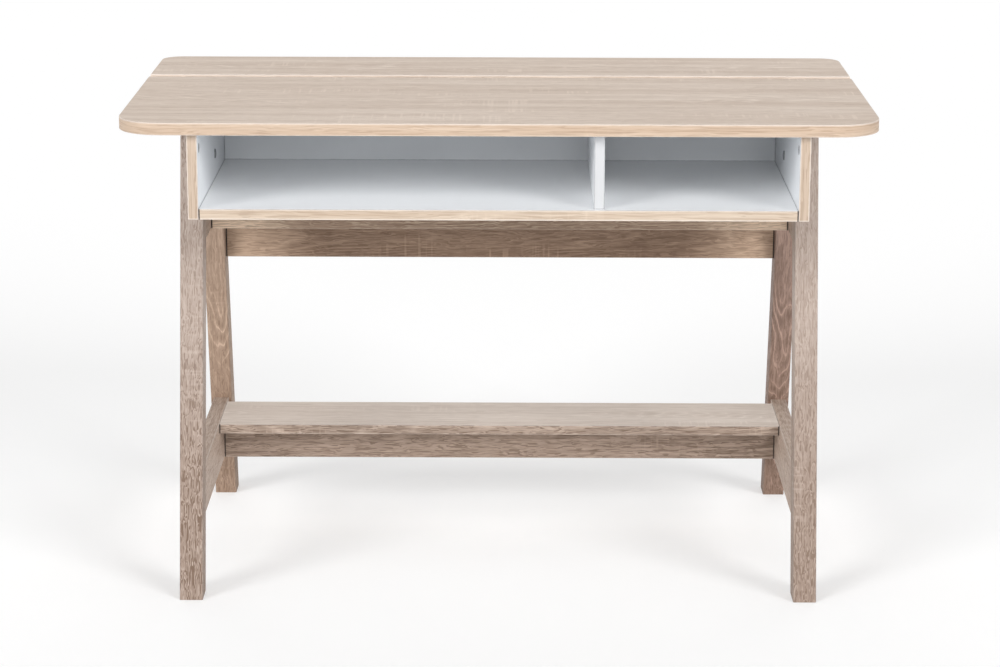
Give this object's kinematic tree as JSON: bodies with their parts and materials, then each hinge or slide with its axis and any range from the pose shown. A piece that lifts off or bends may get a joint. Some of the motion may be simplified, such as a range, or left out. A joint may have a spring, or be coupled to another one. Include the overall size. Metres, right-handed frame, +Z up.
{
  "type": "desk with shelves",
  "caption": "Writing desk with a split wooden top over an open white-lined box of unequal bays, raked A-frame legs, a low foot-level shelf and a rear rail.",
  "frame": {"origin": "on the floor, in the middle of the width, midway between the front edge of the top and the back of the rear feet", "axes": "+X to the sitter's right along the top, +Y away from the sitter, +Z up"},
  "size_m": [1.1, 0.65, 0.75],
  "materials": {
    "oak_board": "pale sawn-oak melamine, grain along the length, satin",
    "oak_banding": "thin oak-pattern edge banding, satin",
    "oak_frame": "greyed oak with dark pores along the length, matt",
    "oak_tie": "oak-pattern melamine, grain along the length, satin",
    "white_board": "cool white melamine-faced board, satin",
    "steel": "zinc-plated, dull",
    "dowel_wood": "plain turned beech"
  },
  "bodies": {
    "root": {"front_top": "oak_board", "rear_top": "oak_board", "shelf": "oak_board", "front_top_banding": "oak_banding", "rear_top_banding": "oak_banding", "box_floor_banding": "oak_banding", "shelf_banding": "oak_banding", "box_side_banding_left": "oak_banding", "box_side_banding_right": "oak_banding", "front_leg_left": "oak_frame", "front_leg_right": "oak_frame", "rear_leg_left": "oak_frame", "rear_leg_right": "oak_frame", "upper_cross_rail_left": "oak_frame", "upper_cross_rail_right": "oak_frame", "lower_cross_rail_left": "oak_frame", "lower_cross_rail_right": "oak_frame", "upper_stretcher": "oak_tie", "lower_stretcher": "oak_tie", "rear_rail": "oak_tie", "box_side_left": "white_board", "box_side_right": "white_board", "box_floor": "white_board", "box_back": "white_board", "box_divider": "white_board", "box_divider_banding": "white_board", "cam_locks": "steel", "leg_bolts": "steel", "cam_bolts": "steel", "leg_inserts": "steel", "dowels": "dowel_wood"}
  },
  "joints": []
}
